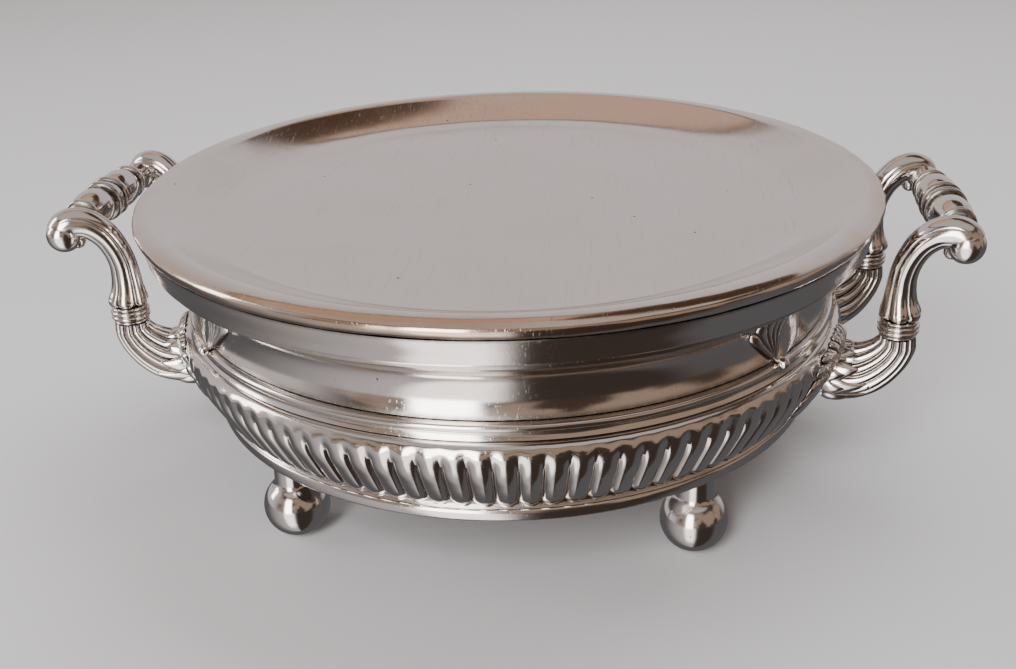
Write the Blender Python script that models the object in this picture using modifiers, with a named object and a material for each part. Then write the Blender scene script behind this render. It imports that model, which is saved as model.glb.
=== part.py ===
"""A round silver-plated soup tureen on four ball feet, with a dish-shaped lift-off cover.

The origin is on the surface that the feet stand on, under the middle of the bowl.
+Z is up, the two handles are at -X and +X, and all lengths are in metres.
"""
import math

import bmesh
import bpy
from mathutils import Matrix, Vector

# Driving dimensions.
SEGMENTS = 48               # facets round the body, the cover and the liner
LEAF_SEGMENTS = 96          # finer facets under the leaf mounts, which clear the gadroons
SMALL_SEGMENTS = 14         # facets round feet, ferrules and grips
SCREW_SEGMENTS = 10
GAP = 0.0003                # between pieces that touch
SHEET = 0.0012              # cover and liner sheet
WALL = 0.0015               # neck wall

ROLL_CENTRE = (0.1467, 0.1186)      # centre of the cover's rolled rim
ROLL_RADIUS = 0.0033
ROLL_SHEET = 0.0009
WELL_RADIUS = 0.1180
WELL_HEIGHT = 0.1125
SKIRT_TOP = (0.1478, 0.1150)
SKIRT_FOOT = (0.1462, 0.1059)

SPIGOT_RADIUS = 0.1430      # upstand on the neck that the skirt drops over
SPIGOT_TOP = 0.1100
LIP_HEIGHT = 0.1056
COVE_CENTRE = (0.1530, 0.0885)      # centre of the neck's hollow curve
COVE_DEPTH = 0.0240
COVE_RISE = 0.0162          # upper half-height of the hollow curve
COVE_DROP = 0.0232          # lower half-height
COVE_TOP_ANGLE = 68.0
COVE_FOOT_ANGLE = 25.0

BEAD_INNER_RADIUS = 0.1285
LOBES = 100                 # gadroons round the belly
LOBE_DEPTH = 0.0013
LOBE_TOP = 0.0712
LOBE_FOOT = 0.0440
BELLY_PROFILE = [(0.1325, 0.0718), (0.1362, 0.0702), (0.1376, 0.0660), (0.1362, 0.0590),
                 (0.1300, 0.0470), (0.1264, 0.0409)]
BELLY_INSIDE = [(0.1293, 0.0718), (0.1340, 0.0640), (0.1238, 0.0409)]

BAND_RADIUS = 0.1263
BAND_WIDTH = 0.0040
BAND_TOP = 0.0406
BAND_FOOT = 0.0360
PLATE_THICKNESS = 0.0015

FOOT_PLACE = (0.0775, 0.0825)
FOOT_TOP = BAND_FOOT - GAP
BALL_RADIUS = 0.0133
BALL_FLAT_RADIUS = 0.0040   # flat that the ball stands on
FOOT_NECK_RADIUS = 0.0076
FOOT_FLARE_RADIUS = 0.0090

LINER_RADIUS = 0.1240
LINER_FLANGE_TOP = 0.1115
LINER_FOOT = 0.0470
LINER_CORNER = 0.0150

ARM_ANGLE = 13.5            # degrees between the line of the handles and each arm's upright plane
FERRULE_REACH = 0.1592      # from the tureen's axis to a ferrule's axis, in the arm's plane
FERRULE_FOOT = 0.0696
FERRULE_TOP = 0.0768
GRIP_REACH = 0.1750         # from the tureen's axis to the middle of a grip
GRIP_HEIGHT = 0.1098
GRIP_HALF_LENGTH = 0.0342
LEAF_THICKNESS = 0.0020

SCREW_RADIUS = 0.0018
SCREW_HOLE_RADIUS = 0.0022
SCREW_HEAD_RADIUS = 0.0040
SCREW_HEAD_HEIGHT = 0.0022
FOOT_SCREW_TIP = 0.0270
HANDLE_SCREW_HEIGHT = 0.0530
HANDLE_SCREW_SEAT = 0.1264  # radius at the outer face of the screw's head
HANDLE_SCREW_TIP = 0.1440

COLOURS = {
    "satin_silver": ((0.74, 0.71, 0.68, 1.0), 0.32),
    "bright_silver": ((0.76, 0.73, 0.69, 1.0), 0.18),
    "cast_silver": ((0.70, 0.67, 0.63, 1.0), 0.20),
    "liner_silver": ((0.78, 0.76, 0.73, 1.0), 0.30),
    "brass": ((0.66, 0.50, 0.25, 1.0), 0.35),
}


def clear_scene():
    for thing in list(bpy.data.objects):
        bpy.data.objects.remove(thing)


def new_collection(name):
    collection = bpy.data.collections.new(name)
    bpy.context.scene.collection.children.link(collection)
    return collection


def make_material(name, colour, roughness):
    material = bpy.data.materials.new(name)
    material.use_nodes = True
    shader = material.node_tree.nodes["Principled BSDF"]
    shader.inputs["Base Color"].default_value = colour
    shader.inputs["Metallic"].default_value = 1.0
    shader.inputs["Roughness"].default_value = roughness
    material.diffuse_color = colour
    return material


clear_scene()
PARTS = new_collection("soup_tureen")
CUTTERS = new_collection("tureen_cutters")
FINISH = {name: make_material(name, *values) for name, values in COLOURS.items()}


# Outlines. Each is a list of (radius, height) points that runs down the outer side.

def arc(centre, radii, start, end, count):
    """Points on an ellipse from one angle to another, in degrees."""
    points = []
    for step in range(count + 1):
        angle = math.radians(start + (end - start) * step / count)
        points.append((centre[0] + radii[0] * math.cos(angle), centre[1] + radii[1] * math.sin(angle)))
    return points


def offset_line(points, distance):
    """The line moved outwards by a distance, or inwards by a negative one."""
    moved = []
    for index, (radius, height) in enumerate(points):
        before = points[max(index - 1, 0)]
        after = points[min(index + 1, len(points) - 1)]
        run = after[0] - before[0]
        drop = before[1] - after[1]
        length = math.hypot(run, drop)
        moved.append((radius + distance * drop / length, height + distance * run / length))
    return moved


def wall_outline(points, thickness):
    """A closed outline: an outer line and the same line nearer to the axis, with level ends."""
    return points + [(radius - thickness, height) for radius, height in points[::-1]]


def radius_at(points, height):
    """Radius of a falling outline at a height."""
    for upper, lower in zip(points, points[1:]):
        if upper[1] >= height >= lower[1]:
            share = (upper[1] - height) / (upper[1] - lower[1])
            return upper[0] + (lower[0] - upper[0]) * share
    return points[0][0] if height > points[0][1] else points[-1][0]


# Objects.

def add_object(name, data, collection, finish=None, placement=None):
    thing = bpy.data.objects.new(name, data)
    collection.objects.link(thing)
    if placement is not None:
        thing.matrix_world = placement
    if finish is not None:
        data.materials.append(FINISH[finish])
    if collection is CUTTERS:
        thing.hide_render = True
        thing.display_type = "WIRE"
    return thing


def turned(name, outline, finish=None, ring=True, steps=SEGMENTS, placement=None, collection=PARTS):
    """A body turned about its own Z axis. A ring's outline is closed; a solid's ends on the axis."""
    mesh = bpy.data.meshes.new(name)
    edges = [(index, index + 1) for index in range(len(outline) - 1)]
    if ring:
        edges.append((len(outline) - 1, 0))
    mesh.from_pydata([(radius, 0.0, height) for radius, height in outline], edges, [])
    thing = add_object(name, mesh, collection, finish, placement)
    screw = thing.modifiers.new("turn", "SCREW")
    screw.steps = steps
    screw.render_steps = steps
    screw.use_merge_vertices = True
    screw.merge_threshold = 0.00001
    screw.use_smooth_shade = True
    return thing


def as_mesh(thing):
    """Replaces an object by its evaluated mesh, in place, with loose caps welded."""
    bpy.context.view_layer.update()
    evaluated = thing.evaluated_get(bpy.context.evaluated_depsgraph_get())
    mesh = bpy.data.meshes.new_from_object(evaluated)
    welded = bmesh.new()
    welded.from_mesh(mesh)
    bmesh.ops.remove_doubles(welded, verts=welded.verts, dist=0.000001)
    welded.to_mesh(mesh)
    welded.free()
    name, placement = thing.name, thing.matrix_world.copy()
    collection = thing.users_collection[0]
    bpy.data.objects.remove(thing)
    solid = add_object(name, mesh, collection, None, placement)
    mesh.shade_smooth()
    return solid


def cut(thing, cutter, operation="DIFFERENCE"):
    modifier = thing.modifiers.new(operation.lower(), "BOOLEAN")
    modifier.operation = operation
    modifier.solver = "EXACT"
    modifier.object = cutter


def rod(name, start, direction, radius, length):
    """A plain round cutter that begins at a point and runs in a direction."""
    mesh = bpy.data.meshes.new(name)
    shape = bmesh.new()
    bmesh.ops.create_cone(shape, cap_ends=True, segments=SMALL_SEGMENTS,
                          radius1=radius, radius2=radius, depth=length)
    bmesh.ops.translate(shape, verts=shape.verts, vec=(0.0, 0.0, length / 2))
    shape.to_mesh(mesh)
    shape.free()
    turn = direction.to_track_quat("Z", "Y").to_matrix().to_4x4()
    return add_object(name, mesh, CUTTERS, None, Matrix.Translation(start) @ turn)


def tapered_tube(name, path, finish, placement):
    """A bent round bar in an upright plane: path rows are (reach from the axis, height, radius)."""
    curve = bpy.data.curves.new(name, "CURVE")
    curve.dimensions = "3D"
    curve.bevel_depth = 1.0
    curve.bevel_resolution = 2
    curve.use_fill_caps = True
    spline = curve.splines.new("POLY")
    rows = smooth_rows(path)
    spline.points.add(len(rows) - 1)
    for point, (reach, height, radius) in zip(spline.points, rows):
        point.co = (reach, 0.0, height, 1.0)
        point.radius = radius
    return add_object(name, curve, PARTS, finish, placement)


def smooth_rows(path, count=2):
    """Extra rows between the given ones, on a Catmull-Rom curve."""
    rows = []
    for index in range(len(path) - 1):
        span = [path[max(index - 1, 0)], path[index], path[index + 1], path[min(index + 2, len(path) - 1)]]
        for step in range(count):
            rows.append(tuple(catmull_rom(values, step / count) for values in zip(*span)))
    rows.append(path[-1])
    return rows


def catmull_rom(values, share):
    before, start, end, after = values
    return 0.5 * (2 * start + (end - before) * share
                  + (2 * before - 5 * start + 4 * end - after) * share ** 2
                  + (3 * start - before - 3 * end + after) * share ** 3)


# The cover: a shallow dish rolled over a wire, with a skirt that drops over the neck.

def cavetto():
    """The dish's side, from the edge of its flat well up to the rolled rim."""
    crest = arc(ROLL_CENTRE, (ROLL_RADIUS, ROLL_RADIUS), 118, 118, 1)[0]
    run = crest[0] - WELL_RADIUS
    rise = crest[1] - WELL_HEIGHT
    shares = [0.0, 0.3, 0.65]
    return [(WELL_RADIUS + run * share, WELL_HEIGHT + rise * share ** 1.7) for share in shares]


def build_cover():
    side = cavetto()
    outer_roll = arc(ROLL_CENTRE, (ROLL_RADIUS, ROLL_RADIUS), 118, -130, 6)
    bore = ROLL_RADIUS - ROLL_SHEET
    inner_roll = arc(ROLL_CENTRE, (bore, bore), -130, 110, 4)
    underside = [(radius, height - SHEET) for radius, height in side]
    outline = [(0.0, WELL_HEIGHT)] + side + outer_roll + inner_roll + underside[::-2]
    outline.append((0.0, WELL_HEIGHT - SHEET))
    turned("cover_dish", outline, "satin_silver", ring=False)
    wire = bore * math.cos(math.radians(30.0)) - GAP
    turned("cover_rim_wire", arc(ROLL_CENTRE, (wire, wire), 90, -210, 5), "brass")
    turned("cover_skirt", wall_outline([SKIRT_TOP, SKIRT_FOOT], WALL), "bright_silver")


# The body: neck, shoulder bead, gadrooned belly, base band and bottom plate.

def neck_cove():
    upper = arc(COVE_CENTRE, (-COVE_DEPTH, COVE_RISE), COVE_TOP_ANGLE, 0, 4)
    lower = arc(COVE_CENTRE, (-COVE_DEPTH, COVE_DROP), 0, -COVE_FOOT_ANGLE, 2)
    return upper + lower[1:]


def shoulder_profile():
    """A half-round bead with a hollow fillet below it."""
    return [(0.1315, 0.0785), (0.1329, 0.0780), (0.1335, 0.0766), (0.1329, 0.0753),
            (0.1313, 0.0742), (0.1322, 0.0721)]


def build_neck():
    cove = neck_cove()
    lip = (cove[0][0] + 0.0003, LIP_HEIGHT)
    outer = [(SPIGOT_RADIUS, SPIGOT_TOP), (SPIGOT_RADIUS, LIP_HEIGHT), lip] + cove
    inner = [(SPIGOT_RADIUS - WALL, LIP_HEIGHT - WALL)] + offset_line(cove, -WALL)[1::2]
    inner[-1] = (inner[-1][0], cove[-1][1])
    turned("body_neck", outer + inner[::-1] + [(SPIGOT_RADIUS - WALL, SPIGOT_TOP)], "bright_silver")


def build_shoulder_bead():
    profile = shoulder_profile()
    inside = [(BEAD_INNER_RADIUS, profile[-1][1]), (BEAD_INNER_RADIUS, profile[0][1])]
    turned("shoulder_bead", profile + inside, "bright_silver")


def build_belly(screw_holes):
    """The belly is turned first; then each second column of its outer skin sinks into a groove."""
    outline = BELLY_PROFILE + BELLY_INSIDE[::-1]
    belly = as_mesh(turned("gadrooned_belly", outline, "bright_silver", steps=2 * LOBES))
    for vertex in belly.data.vertices:
        across, along, height = vertex.co
        radius = math.hypot(across, along)
        column = round(math.atan2(along, across) * LOBES / math.pi)
        on_skin = radius > radius_at(BELLY_PROFILE, height) - LOBE_DEPTH
        if column % 2 and on_skin and LOBE_FOOT < height < LOBE_TOP:
            vertex.co.x *= 1.0 - LOBE_DEPTH / radius
            vertex.co.y *= 1.0 - LOBE_DEPTH / radius
    for hole in screw_holes:
        cut(belly, hole)


def build_base(screw_holes):
    edge = BAND_RADIUS - BAND_WIDTH
    turned("base_band", wall_outline([(BAND_RADIUS, BAND_TOP), (BAND_RADIUS, BAND_FOOT)], BAND_WIDTH),
           "bright_silver")
    top = BAND_FOOT + PLATE_THICKNESS
    rim = edge - GAP
    plate = turned("bottom_plate", [(0.0, top), (rim, top), (rim, BAND_FOOT), (0.0, BAND_FOOT)],
                   "bright_silver", ring=False)
    for hole in screw_holes:
        cut(plate, hole)


# Four ball feet, each held by a screw from inside.

def foot_outline():
    centre = math.sqrt(BALL_RADIUS ** 2 - BALL_FLAT_RADIUS ** 2)
    neck_angle = math.degrees(math.acos(FOOT_NECK_RADIUS / BALL_RADIUS)) - 6.0
    flat_angle = -math.degrees(math.acos(BALL_FLAT_RADIUS / BALL_RADIUS))
    ball = arc((0.0, centre), (BALL_RADIUS, BALL_RADIUS), neck_angle, flat_angle, 7)
    ball[-1] = (BALL_FLAT_RADIUS, 0.0)
    flare = [(0.0, FOOT_TOP), (FOOT_FLARE_RADIUS, FOOT_TOP), (FOOT_FLARE_RADIUS, FOOT_TOP - 0.0008),
             (0.0080, 0.0318), (FOOT_NECK_RADIUS, 0.0270)]
    return flare + ball + [(0.0, 0.0)]


def foot_places():
    return {
        "front_left": (-FOOT_PLACE[0], -FOOT_PLACE[1]),
        "front_right": (FOOT_PLACE[0], -FOOT_PLACE[1]),
        "back_left": (-FOOT_PLACE[0], FOOT_PLACE[1]),
        "back_right": (FOOT_PLACE[0], FOOT_PLACE[1]),
    }


def build_feet():
    """Makes the feet and returns the screw holes, which the bottom plate shares."""
    up = Vector((0.0, 0.0, 1.0))
    depth = BAND_FOOT + 2 * PLATE_THICKNESS - FOOT_SCREW_TIP + GAP
    holes = []
    for place, (x, y) in foot_places().items():
        foot = turned("foot_" + place, foot_outline(), "cast_silver", ring=False,
                      steps=SMALL_SEGMENTS, placement=Matrix.Translation((x, y, 0.0)))
        hole = rod("foot_hole_" + place, (x, y, FOOT_SCREW_TIP - GAP), up, SCREW_HOLE_RADIUS, depth)
        cut(foot, hole)
        holes.append(hole)
    return holes


def screw_outline(length):
    """A cheese-head screw with its tip at zero: the head is above the shank."""
    head_top = length + SCREW_HEAD_HEIGHT
    return [(0.0, head_top), (SCREW_HEAD_RADIUS, head_top), (SCREW_HEAD_RADIUS, length),
            (SCREW_RADIUS, length), (SCREW_RADIUS, 0.0), (0.0, 0.0)]


def build_screws(name, length, placements):
    for place, placement in placements.items():
        turned(name + "_" + place, screw_outline(length), "brass", ring=False, steps=SCREW_SEGMENTS,
               placement=placement)


# Handles: on each side two arms carry a turned grip.

def arm_places():
    """Each arm's turn about the tureen's axis, and the hand of its leaf mount."""
    near = math.radians(-ARM_ANGLE)
    far = math.radians(ARM_ANGLE)
    return {
        "left_near": (math.pi - near, 1),
        "left_far": (math.pi - far, -1),
        "right_near": (near, -1),
        "right_far": (far, 1),
    }


def body_skin():
    """The outline that the leaf mounts lie on, from under the lip down over the belly."""
    cove = neck_cove()[1:]
    bead = [(0.1338, 0.0781)]
    return cove + bead + BELLY_PROFILE[2:-1]


def leaf_outline():
    """An acanthus spray: a shell under the bracket that sweeps up into a fan on the neck."""
    shell = [(0.0150, 0.0430), (0.0060, 0.0412), (-0.0040, 0.0418), (-0.0120, 0.0460), (-0.0160, 0.0530),
             (-0.0160, 0.0620), (-0.0110, 0.0700), (0.0010, 0.0745), (0.0150, 0.0765), (0.0240, 0.0800)]
    fan = [(0.0300, 0.0870), (0.0320, 0.0980), (0.0390, 0.1005), (0.0480, 0.1015), (0.0570, 0.1005),
           (0.0640, 0.0960), (0.0620, 0.0880), (0.0560, 0.0800)]
    return shell + fan + [(0.0510, 0.0740), (0.0460, 0.0660), (0.0390, 0.0580), (0.0280, 0.0490)]


def leaf_prism(name, turn, hand):
    """The leaf's outline as a bar that runs outwards through the body's wall."""
    curve = bpy.data.curves.new(name, "CURVE")
    curve.dimensions = "2D"
    curve.fill_mode = "BOTH"
    curve.extrude = 0.03
    spline = curve.splines.new("POLY")
    spline.use_cyclic_u = True
    outline = leaf_outline()
    spline.points.add(len(outline) - 1)
    for point, (across, height) in zip(spline.points, outline):
        point.co = (hand * across, height, 0.0, 1.0)
    stand = Matrix(((0, 0, 1, 0.13), (1, 0, 0, 0), (0, 1, 0, 0), (0, 0, 0, 1)))
    prism = add_object(name, curve, CUTTERS, None, Matrix.Rotation(turn, 4, "Z") @ stand)
    return as_mesh(prism)


def bracket_path():
    return [(0.1230, 0.0520, 0.0122), (0.1345, 0.0518, 0.0120), (0.1405, 0.0522, 0.0116),
            (0.1465, 0.0534, 0.0110), (0.1518, 0.0562, 0.0100), (0.1562, 0.0604, 0.0088),
            (0.1588, 0.0645, 0.0079), (FERRULE_REACH, 0.0668, 0.0076), (FERRULE_REACH, 0.0681, 0.0074),
            (FERRULE_REACH, FERRULE_FOOT - GAP, 0.0072)]


def arm_path():
    return [(FERRULE_REACH, FERRULE_TOP + GAP, 0.0072), (FERRULE_REACH, 0.0784, 0.0080),
            (FERRULE_REACH, 0.0798, 0.0082), (0.1588, 0.0836, 0.0074),
            (0.1586, 0.0886, 0.0062), (0.1590, 0.0950, 0.0056), (0.1608, 0.1015, 0.0056),
            (0.1642, 0.1078, 0.0057), (0.1694, 0.1122, 0.0059), (0.1752, 0.1132, 0.0064),
            (0.1796, 0.1108, 0.0076), (0.1812, 0.1068, 0.0064), (0.1814, 0.1036, 0.0026)]


def ferrule_outline():
    """Three half-round rings, one above the other."""
    rings = 3
    pitch = (FERRULE_TOP - FERRULE_FOOT) / rings
    outline = [(0.0, FERRULE_TOP)]
    for index in range(rings):
        centre = (0.0068, FERRULE_TOP - pitch * (index + 0.5))
        outline += arc(centre, (0.0012, pitch * 0.48), 90, -90, 2)
    outline.append((0.0, FERRULE_FOOT))
    outline[1] = (outline[1][0], FERRULE_TOP)
    outline[-2] = (outline[-2][0], FERRULE_FOOT)
    return outline


def grip_outline():
    """A baluster, mirrored about its middle: rows are (distance from the middle, radius)."""
    half = [(GRIP_HALF_LENGTH, 0.0058), (0.0300, 0.0048), (0.0262, 0.0052),
            (0.0244, 0.0073), (0.0232, 0.0073), (0.0220, 0.0060), (0.0160, 0.0077), (0.0100, 0.0081),
            (0.0046, 0.0068), (0.0028, 0.0089), (0.0012, 0.0089)]
    rows = half + [(-distance, radius) for distance, radius in half[::-1]]
    outline = [(radius, distance) for distance, radius in rows]
    return [(0.0, GRIP_HALF_LENGTH)] + outline + [(0.0, -GRIP_HALF_LENGTH)]


def build_leaf_mount(name, turn, hand, hole):
    skin = body_skin()
    inside = offset_line(skin, GAP)
    outside = offset_line(skin, GAP + LEAF_THICKNESS)
    mount = as_mesh(turned("leaf_mount_" + name, outside + inside[::-1], "cast_silver",
                           steps=LEAF_SEGMENTS))
    cut(mount, leaf_prism("leaf_outline_" + name, turn, hand), "INTERSECT")
    cut(mount, hole)


def build_bracket(name, placement, root_cutter, hole):
    bracket = as_mesh(tapered_tube("bracket_" + name, bracket_path(), "cast_silver", placement))
    cut(bracket, root_cutter)
    cut(bracket, hole)


def build_handles():
    """Makes both handles and returns the screw holes, which the belly shares."""
    skin = offset_line(body_skin(), 2 * GAP + LEAF_THICKNESS)
    top = (0.0, skin[0][1])
    foot = (0.0, skin[-1][1] - 0.006)
    outline = [top] + skin + [(skin[-1][0], foot[1]), foot]
    root = turned("root_cutter", outline, ring=False, steps=LEAF_SEGMENTS, collection=CUTTERS)
    holes = []
    for name, (turn, hand) in arm_places().items():
        placement = Matrix.Rotation(turn, 4, "Z")
        direction = placement @ Vector((1.0, 0.0, 0.0))
        start = direction * (HANDLE_SCREW_SEAT - 0.002)
        start.z = HANDLE_SCREW_HEIGHT
        length = HANDLE_SCREW_TIP - HANDLE_SCREW_SEAT + 0.002 + GAP
        hole = rod("handle_hole_" + name, start, direction, SCREW_HOLE_RADIUS, length)
        holes.append(hole)
        build_leaf_mount(name, turn, hand, hole)
        build_bracket(name, placement, root, hole)
        stand = placement @ Matrix.Translation((FERRULE_REACH, 0.0, 0.0))
        turned("ferrule_" + name, ferrule_outline(), "cast_silver", ring=False, steps=SMALL_SEGMENTS,
               placement=stand)
        tapered_tube("arm_" + name, arm_path(), "cast_silver", placement)
    for side_name, side in (("left", -1), ("right", 1)):
        level = Matrix.Rotation(math.pi / 2, 4, "X")
        place = Matrix.Translation((side * GRIP_REACH, 0.0, GRIP_HEIGHT)) @ level
        turned("grip_" + side_name, grip_outline(), "cast_silver", ring=False, steps=SMALL_SEGMENTS,
               placement=place)
    return holes


# The liner: a plain pan that hangs by its flange on the neck's upstand.

def build_liner():
    seat = SPIGOT_TOP + GAP
    corner = (LINER_RADIUS - 0.002 - LINER_CORNER, LINER_FOOT + LINER_CORNER)
    bend = arc(corner, (LINER_CORNER, LINER_CORNER), 0, -90, 4)
    inner_radius = LINER_CORNER - SHEET
    inner_bend = arc(corner, (inner_radius, inner_radius), -90, 0, 3)
    outer = [(SPIGOT_RADIUS, LINER_FLANGE_TOP), (SPIGOT_RADIUS, seat), (LINER_RADIUS, seat)]
    mouth = LINER_RADIUS - SHEET
    outline = [(0.0, LINER_FOOT + SHEET)] + inner_bend + [(mouth, LINER_FLANGE_TOP)]
    outline += outer + bend + [(0.0, LINER_FOOT)]
    turned("liner_pan", outline, "liner_silver", ring=False)


def build_foot_screws():
    length = BAND_FOOT + PLATE_THICKNESS + GAP - FOOT_SCREW_TIP
    placements = {}
    for place, (x, y) in foot_places().items():
        placements[place] = Matrix.Translation((x, y, FOOT_SCREW_TIP))
    build_screws("foot_screw", length, placements)


def build_handle_screws():
    placements = {}
    for name, (turn, _) in arm_places().items():
        direction = Matrix.Rotation(turn, 4, "Z") @ Vector((1.0, 0.0, 0.0))
        tip = direction * HANDLE_SCREW_TIP
        tip.z = HANDLE_SCREW_HEIGHT
        aim = (-direction).to_track_quat("Z", "Y").to_matrix().to_4x4()
        placements[name] = Matrix.Translation(tip) @ aim
    build_screws("handle_screw", HANDLE_SCREW_TIP - HANDLE_SCREW_SEAT, placements)


build_cover()
build_neck()
build_shoulder_bead()
FOOT_HOLES = build_feet()
HANDLE_HOLES = build_handles()
build_belly(HANDLE_HOLES)
build_base(FOOT_HOLES)
build_liner()
build_foot_screws()
build_handle_screws()
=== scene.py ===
"""The looks of a silver-plated soup tureen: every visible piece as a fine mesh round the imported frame.

Lengths are in metres, with +Z up, -Y towards the camera and the handles at -X and +X.
"""
import math

import bmesh
import bpy
import numpy as np
from mathutils import Matrix, Vector


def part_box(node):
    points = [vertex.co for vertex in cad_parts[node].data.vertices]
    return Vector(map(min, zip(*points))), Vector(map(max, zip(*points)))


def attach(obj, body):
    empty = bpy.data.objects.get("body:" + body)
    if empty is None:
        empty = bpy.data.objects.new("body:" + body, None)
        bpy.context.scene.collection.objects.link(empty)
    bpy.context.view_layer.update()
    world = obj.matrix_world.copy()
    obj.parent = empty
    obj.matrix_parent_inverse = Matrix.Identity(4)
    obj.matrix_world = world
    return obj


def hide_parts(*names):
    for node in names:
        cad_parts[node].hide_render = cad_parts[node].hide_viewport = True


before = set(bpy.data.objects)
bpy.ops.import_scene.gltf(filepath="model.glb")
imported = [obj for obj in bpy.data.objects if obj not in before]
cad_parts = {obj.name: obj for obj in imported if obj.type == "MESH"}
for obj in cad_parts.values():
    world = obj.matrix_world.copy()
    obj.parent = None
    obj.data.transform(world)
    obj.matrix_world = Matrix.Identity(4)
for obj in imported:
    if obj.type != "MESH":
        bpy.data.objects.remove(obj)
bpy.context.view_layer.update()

# Driving dimensions that the frame's boxes don't give.
GAP = 0.0003
ROUND = 384                 # facets round the cover, neck and bands
LOBES = 100                 # gadroons round the belly
LOBE_FACETS = 10
SHEET = 0.0012

# The camera's place, lens and turns.
CAMERA_PLACE = (0.0566, -0.4681, 0.2669)
CAMERA_LENS = 42.03
CAMERA_PITCH = 0.4330       # radians below the horizon
CAMERA_TURN = 0.1242        # radians anticlockwise from +Y
CAMERA_ROLL = -0.0317       # radians about its own view


# Mesh helpers.

def build_mesh(name, vertices, faces, body, finish, painted_shade=None, sharp=50.0, wear=None):
    """A smooth-shaded piece with outward normals that rides on a body and has a material."""
    mesh = bpy.data.meshes.new(name)
    mesh.from_pydata([tuple(point) for point in vertices], [], faces)
    # Painted shade values, where given, are stored as a mesh attribute, beside the wear values.
    for label, values in (("painted_shade", painted_shade), ("wear", wear)):
        if values is not None:
            layer = mesh.attributes.new(label, "FLOAT", "POINT")
            layer.data.foreach_set("value", np.asarray(values, dtype=np.float32))
    shape = bmesh.new()
    shape.from_mesh(mesh)
    bmesh.ops.remove_doubles(shape, verts=shape.verts, dist=0.0000015)
    bmesh.ops.dissolve_degenerate(shape, edges=shape.edges, dist=0.0000005)
    bmesh.ops.recalc_face_normals(shape, faces=shape.faces)
    shape.to_mesh(mesh)
    shape.free()
    mesh.shade_smooth()
    mesh.set_sharp_from_angle(angle=math.radians(sharp))
    piece = bpy.data.objects.new(name, mesh)
    bpy.context.scene.collection.objects.link(piece)
    material, slot = finish
    mesh.materials.append(material)
    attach(piece, body)
    return piece


def grid_faces(rows, columns, close_rows, close_columns):
    faces = []
    for row in range(rows if close_rows else rows - 1):
        below = (row + 1) % rows
        for column in range(columns if close_columns else columns - 1):
            beside = (column + 1) % columns
            faces.append((row * columns + column, row * columns + beside,
                          below * columns + beside, below * columns + column))
    return faces


def smooth_line(points, count):
    """A Catmull-Rom curve through rows of numbers."""
    points = [np.asarray(point, dtype=float) for point in points]
    line = []
    for index in range(len(points) - 1):
        before = points[max(index - 1, 0)]
        start, end = points[index], points[index + 1]
        after = points[min(index + 2, len(points) - 1)]
        for step in range(count):
            share = step / count
            line.append(0.5 * (2 * start + (end - before) * share
                               + (2 * before - 5 * start + 4 * end - after) * share ** 2
                               + (3 * start - before - 3 * end + after) * share ** 3))
    line.append(points[-1])
    return [tuple(row) for row in line]


def arc(centre, radii, start, end, count):
    angles = np.radians(np.linspace(start, end, count + 1))
    return [(centre[0] + radii[0] * math.cos(a), centre[1] + radii[1] * math.sin(a)) for a in angles]


def offset_line(points, distance):
    moved = []
    for index, (radius, height) in enumerate(points):
        before = points[max(index - 1, 0)]
        after = points[min(index + 1, len(points) - 1)]
        run, drop = after[0] - before[0], before[1] - after[1]
        length = math.hypot(run, drop)
        moved.append((radius + distance * drop / length, height + distance * run / length))
    return moved


def lathe(name, outline, body, finish, ring=True, columns=ROUND, place=None, relief=None, painted_shade=None,
          sharp=50.0, wear=None):
    """A turned piece. relief(radius, height, angle) moves the skin outwards; arrays in, array out."""
    outline = np.array(outline)
    angles = np.linspace(0, 2 * math.pi, columns, endpoint=False)
    radius = np.repeat(outline[:, :1], columns, axis=1)
    height = np.repeat(outline[:, 1:], columns, axis=1)
    turn = np.repeat(angles[None, :], len(outline), axis=0)
    if relief is not None:
        radius = radius + relief(radius, height, turn)
    points = np.stack([radius * np.cos(turn), radius * np.sin(turn), height], axis=-1).reshape(-1, 3)
    if place is not None:
        matrix = np.array(place)
        points = points @ matrix[:3, :3].T + matrix[:3, 3]
    # Painted shade values for each vertex.
    values = None if painted_shade is None else painted_shade(radius, height, turn).reshape(-1)
    faces = grid_faces(len(outline), columns, ring, True)
    worn = None if wear is None else wear(radius, height, turn).reshape(-1)
    return build_mesh(name, points, faces, body, finish, values, sharp, worn)


# Materials.

def link(tree, source, target):
    tree.links.new(source, target)


def noise(tree, vector, scale, detail=4.0, roughness=0.55):
    node = tree.nodes.new("ShaderNodeTexNoise")
    node.inputs["Scale"].default_value = scale
    node.inputs["Detail"].default_value = detail
    node.inputs["Roughness"].default_value = roughness
    link(tree, vector, node.inputs["Vector"])
    return node.outputs["Fac"]


def ramp(tree, value, low, high, start=0.0, end=1.0):
    node = tree.nodes.new("ShaderNodeMapRange")
    node.interpolation_type = "SMOOTHSTEP"
    for key, number in (("From Min", low), ("From Max", high), ("To Min", start), ("To Max", end)):
        node.inputs[key].default_value = number
    link(tree, value, node.inputs["Value"])
    return node.outputs["Result"]


def maths(tree, operation, first, second):
    node = tree.nodes.new("ShaderNodeMath")
    node.operation = operation
    for socket, value in zip(node.inputs, (first, second)):
        if isinstance(value, (int, float)):
            socket.default_value = value
        else:
            link(tree, value, socket)
    return node.outputs["Value"]


def mix_colour(tree, share, first, second):
    node = tree.nodes.new("ShaderNodeMix")
    node.data_type = "RGBA"
    link(tree, share, node.inputs["Factor"])
    for key, value in (("A", first), ("B", second)):
        socket = [one for one in node.inputs if one.name == key and one.type == "RGBA"][0]
        if isinstance(value, tuple):
            socket.default_value = (*value, 1.0)
        else:
            link(tree, value, socket)
    return [one for one in node.outputs if one.type == "RGBA"][0]


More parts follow.
